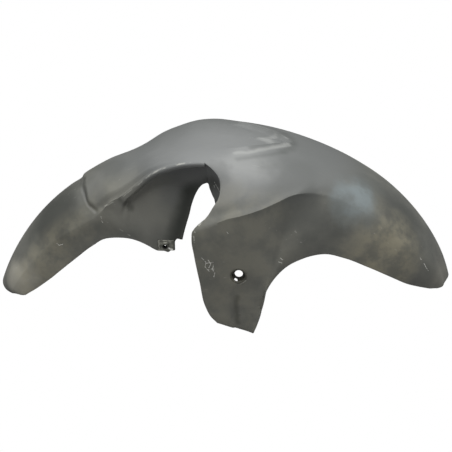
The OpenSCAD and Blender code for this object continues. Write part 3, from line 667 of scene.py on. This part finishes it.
# Middle line of the sheet seen from above, from the end of the inner leg round the fold to the end of the lead-in
half_sheet, middle_height = 0.45, 93.9
inner_leg, outer_leg, leg_ends = -58.3, -62.1, -60
fold_x, fold_y, fold_radius = -58.95, -60.2, 1.9
lip_x, lip_y, lip_radius = -74.9, -63.3, 1.2
fold_turn = np.radians(np.linspace(90, -90, 15))
lip_turn = np.radians(np.linspace(0, 35, 6))
middle_line = np.concatenate([
    np.stack([np.linspace(-78.45, leg_ends, 8), np.full(8, inner_leg)], 1),
    np.stack([fold_x + fold_radius * np.cos(fold_turn), fold_y + fold_radius * np.sin(fold_turn)], 1),
    np.stack([np.linspace(leg_ends, -74, 8), np.full(8, outer_leg)], 1),
    np.stack([lip_x - lip_radius * np.sin(lip_turn), lip_y + lip_radius * np.cos(lip_turn)], 1),
    [[-78.05, -64.02]],
])
facing = np.gradient(middle_line, axis=0)[:, ::-1] * [1, -1]
facing /= np.linalg.norm(facing, axis=1)[:, None]
# Section of the sheet with its edges broken: share of half the thickness, height above the middle
section = [(-1, -7.05), (-1, 7.05), (-0.6, 7.2), (0.6, 7.2), (1, 7.05), (1, -7.05), (0.6, -7.2), (-0.6, -7.2)]
folded = np.stack([
    np.c_[middle_line + half_sheet * share * facing, np.full(len(facing), middle_height + up)]
    for share, up in section
], 1)
# The bore is plain through the inner leg, then an M5 thread: a ridge wave of 0.8 mm pitch that turns once a pitch
pitch, crest_radius, thread_depth, plain_radius, thread_begins, around = 0.8, 2.1, 0.42, 2.5, 4, 48
rows = np.r_[-0.5, np.arange(3.9, 9, 0.08)]
wave = np.abs((rows[:, None] / pitch - np.arange(around) / around) % 1 - 0.5) * 2
thread = np.where(rows[:, None] > thread_begins, crest_radius + thread_depth * wave, plain_radius)
collar_reach, collar_radius = [0, 0.35, 0.6, 1, 3.1, 3.3, 3.35], [5.3, 5.3, 4.8, 4.5, 4.5, 4.3, 4]
for side, hand in (("right", 1), ("left", -1)):
    clip = mesh_object("clip_nut_sheet_" + side, *closed_tube(folded * [1, hand, 1]))
    out = [0, -hand, 0]
    collar = turned([screw_x, -62.2 * hand, screw_z], out, collar_reach, collar_radius)
    combine(clip, mesh_object("collar", *collar), "UNION")
    threaded = turned([screw_x, -57.4 * hand, screw_z], out, rows, thread, around)
    combine(clip, mesh_object("bore", *threaded), "DIFFERENCE")
    clip.data.set_sharp_from_angle(angle=np.radians(35))
    clip.data.materials.clear()
    clip.data.materials.append(zinc)
    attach(clip, "root")
    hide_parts("clip_nut_" + side)


# The floor and the backdrop are the pale sheet of a photographer's table. The camera sees them as plain white, and
# the part takes their light.
table_half = 6
sheet = mesh_object("floor_sheet", np.array([[-1, -1, 0], [1, -1, 0], [1, 1, 0], [-1, 1, 0]], float) * table_half,
                    np.array([[0, 1, 2, 3]]))
paper, surface = start_material("white_paper")
surface.inputs["Base Color"].default_value = (0.35, 0.35, 0.35, 1)
surface.inputs["Roughness"].default_value = 1
seen = Wire.node("LightPath", output=0)
white = Wire.node("Emission", values={"Color": (1, 1, 1, 1), "Strength": 1})
shown = Wire.node("MixShader", values={0: seen, 1: Wire(surface.outputs[0]), 2: white})
Wire.tree.links.new(shown.socket, Wire.tree.nodes["Material Output"].inputs["Surface"])
sheet.data.materials.append(paper)

world = bpy.data.worlds.new("studio")
bpy.context.scene.world = world
world.use_nodes = True
Wire.tree = world.node_tree
back = Wire.tree.nodes["Background"]
back.inputs["Color"].default_value = (1, 1, 1, 1)
back.inputs["Strength"].default_value = 1
glow = Wire.node("Background", values={"Color": (1, 0.99, 0.96, 1), "Strength": 0.17})
seen = Wire.node("LightPath", output=0)
shown = Wire.node("MixShader", values={0: seen, 1: glow, 2: Wire(back.outputs[0])})
Wire.tree.links.new(shown.socket, Wire.tree.nodes["World Output"].inputs["Surface"])


def soft_light(name, spot, aim, size, power):
    """A square area light at a spot, turned to its aim."""
    lamp = bpy.data.lights.new(name, "AREA")
    lamp.size, lamp.energy = size, power
    made = bpy.data.objects.new(name, lamp)
    made.location = spot
    target = bpy.data.objects.new(name + "_aim", None)
    target.location = aim
    pull = made.constraints.new("TRACK_TO")
    pull.target, pull.track_axis, pull.up_axis = target, "TRACK_NEGATIVE_Z", "UP_Y"
    bpy.context.scene.collection.objects.link(made)
    bpy.context.scene.collection.objects.link(target)


middle_of_part = (0, 0, 0.1)
soft_light("overhead", (0.15, -0.35, 1.8), middle_of_part, 1.5, 68)
soft_light("left_front", (-1.8, -0.9, 0.8), middle_of_part, 1.0, 7)

# The camera stands where the photograph's stood: 25 degrees up, turned 4 degrees to the nose, 1.36 m away. Its focal
# length is 1014.9 pixels of a picture 452 pixels wide.
camera = bpy.data.objects.new("camera", bpy.data.cameras.new("camera"))
bpy.context.scene.collection.objects.link(camera)
bpy.context.scene.camera = camera
up, turn, away = np.radians(25), np.radians(4), 1.36
sensor, focal_pixels, picture_pixels = 36, 1014.9, 452
target = np.array([0.0051, 0, 0.0947])
back_to = np.array([np.sin(turn) * np.cos(up), -np.cos(turn) * np.cos(up), np.sin(up)])
camera.location = target + away * back_to
camera.rotation_euler = (np.pi / 2 - up, 0, turn)
camera.data.sensor_width = sensor
camera.data.lens = sensor * focal_pixels / picture_pixels
camera.data.clip_start = 0.05

bpy.context.scene.view_settings.view_transform = "Standard"
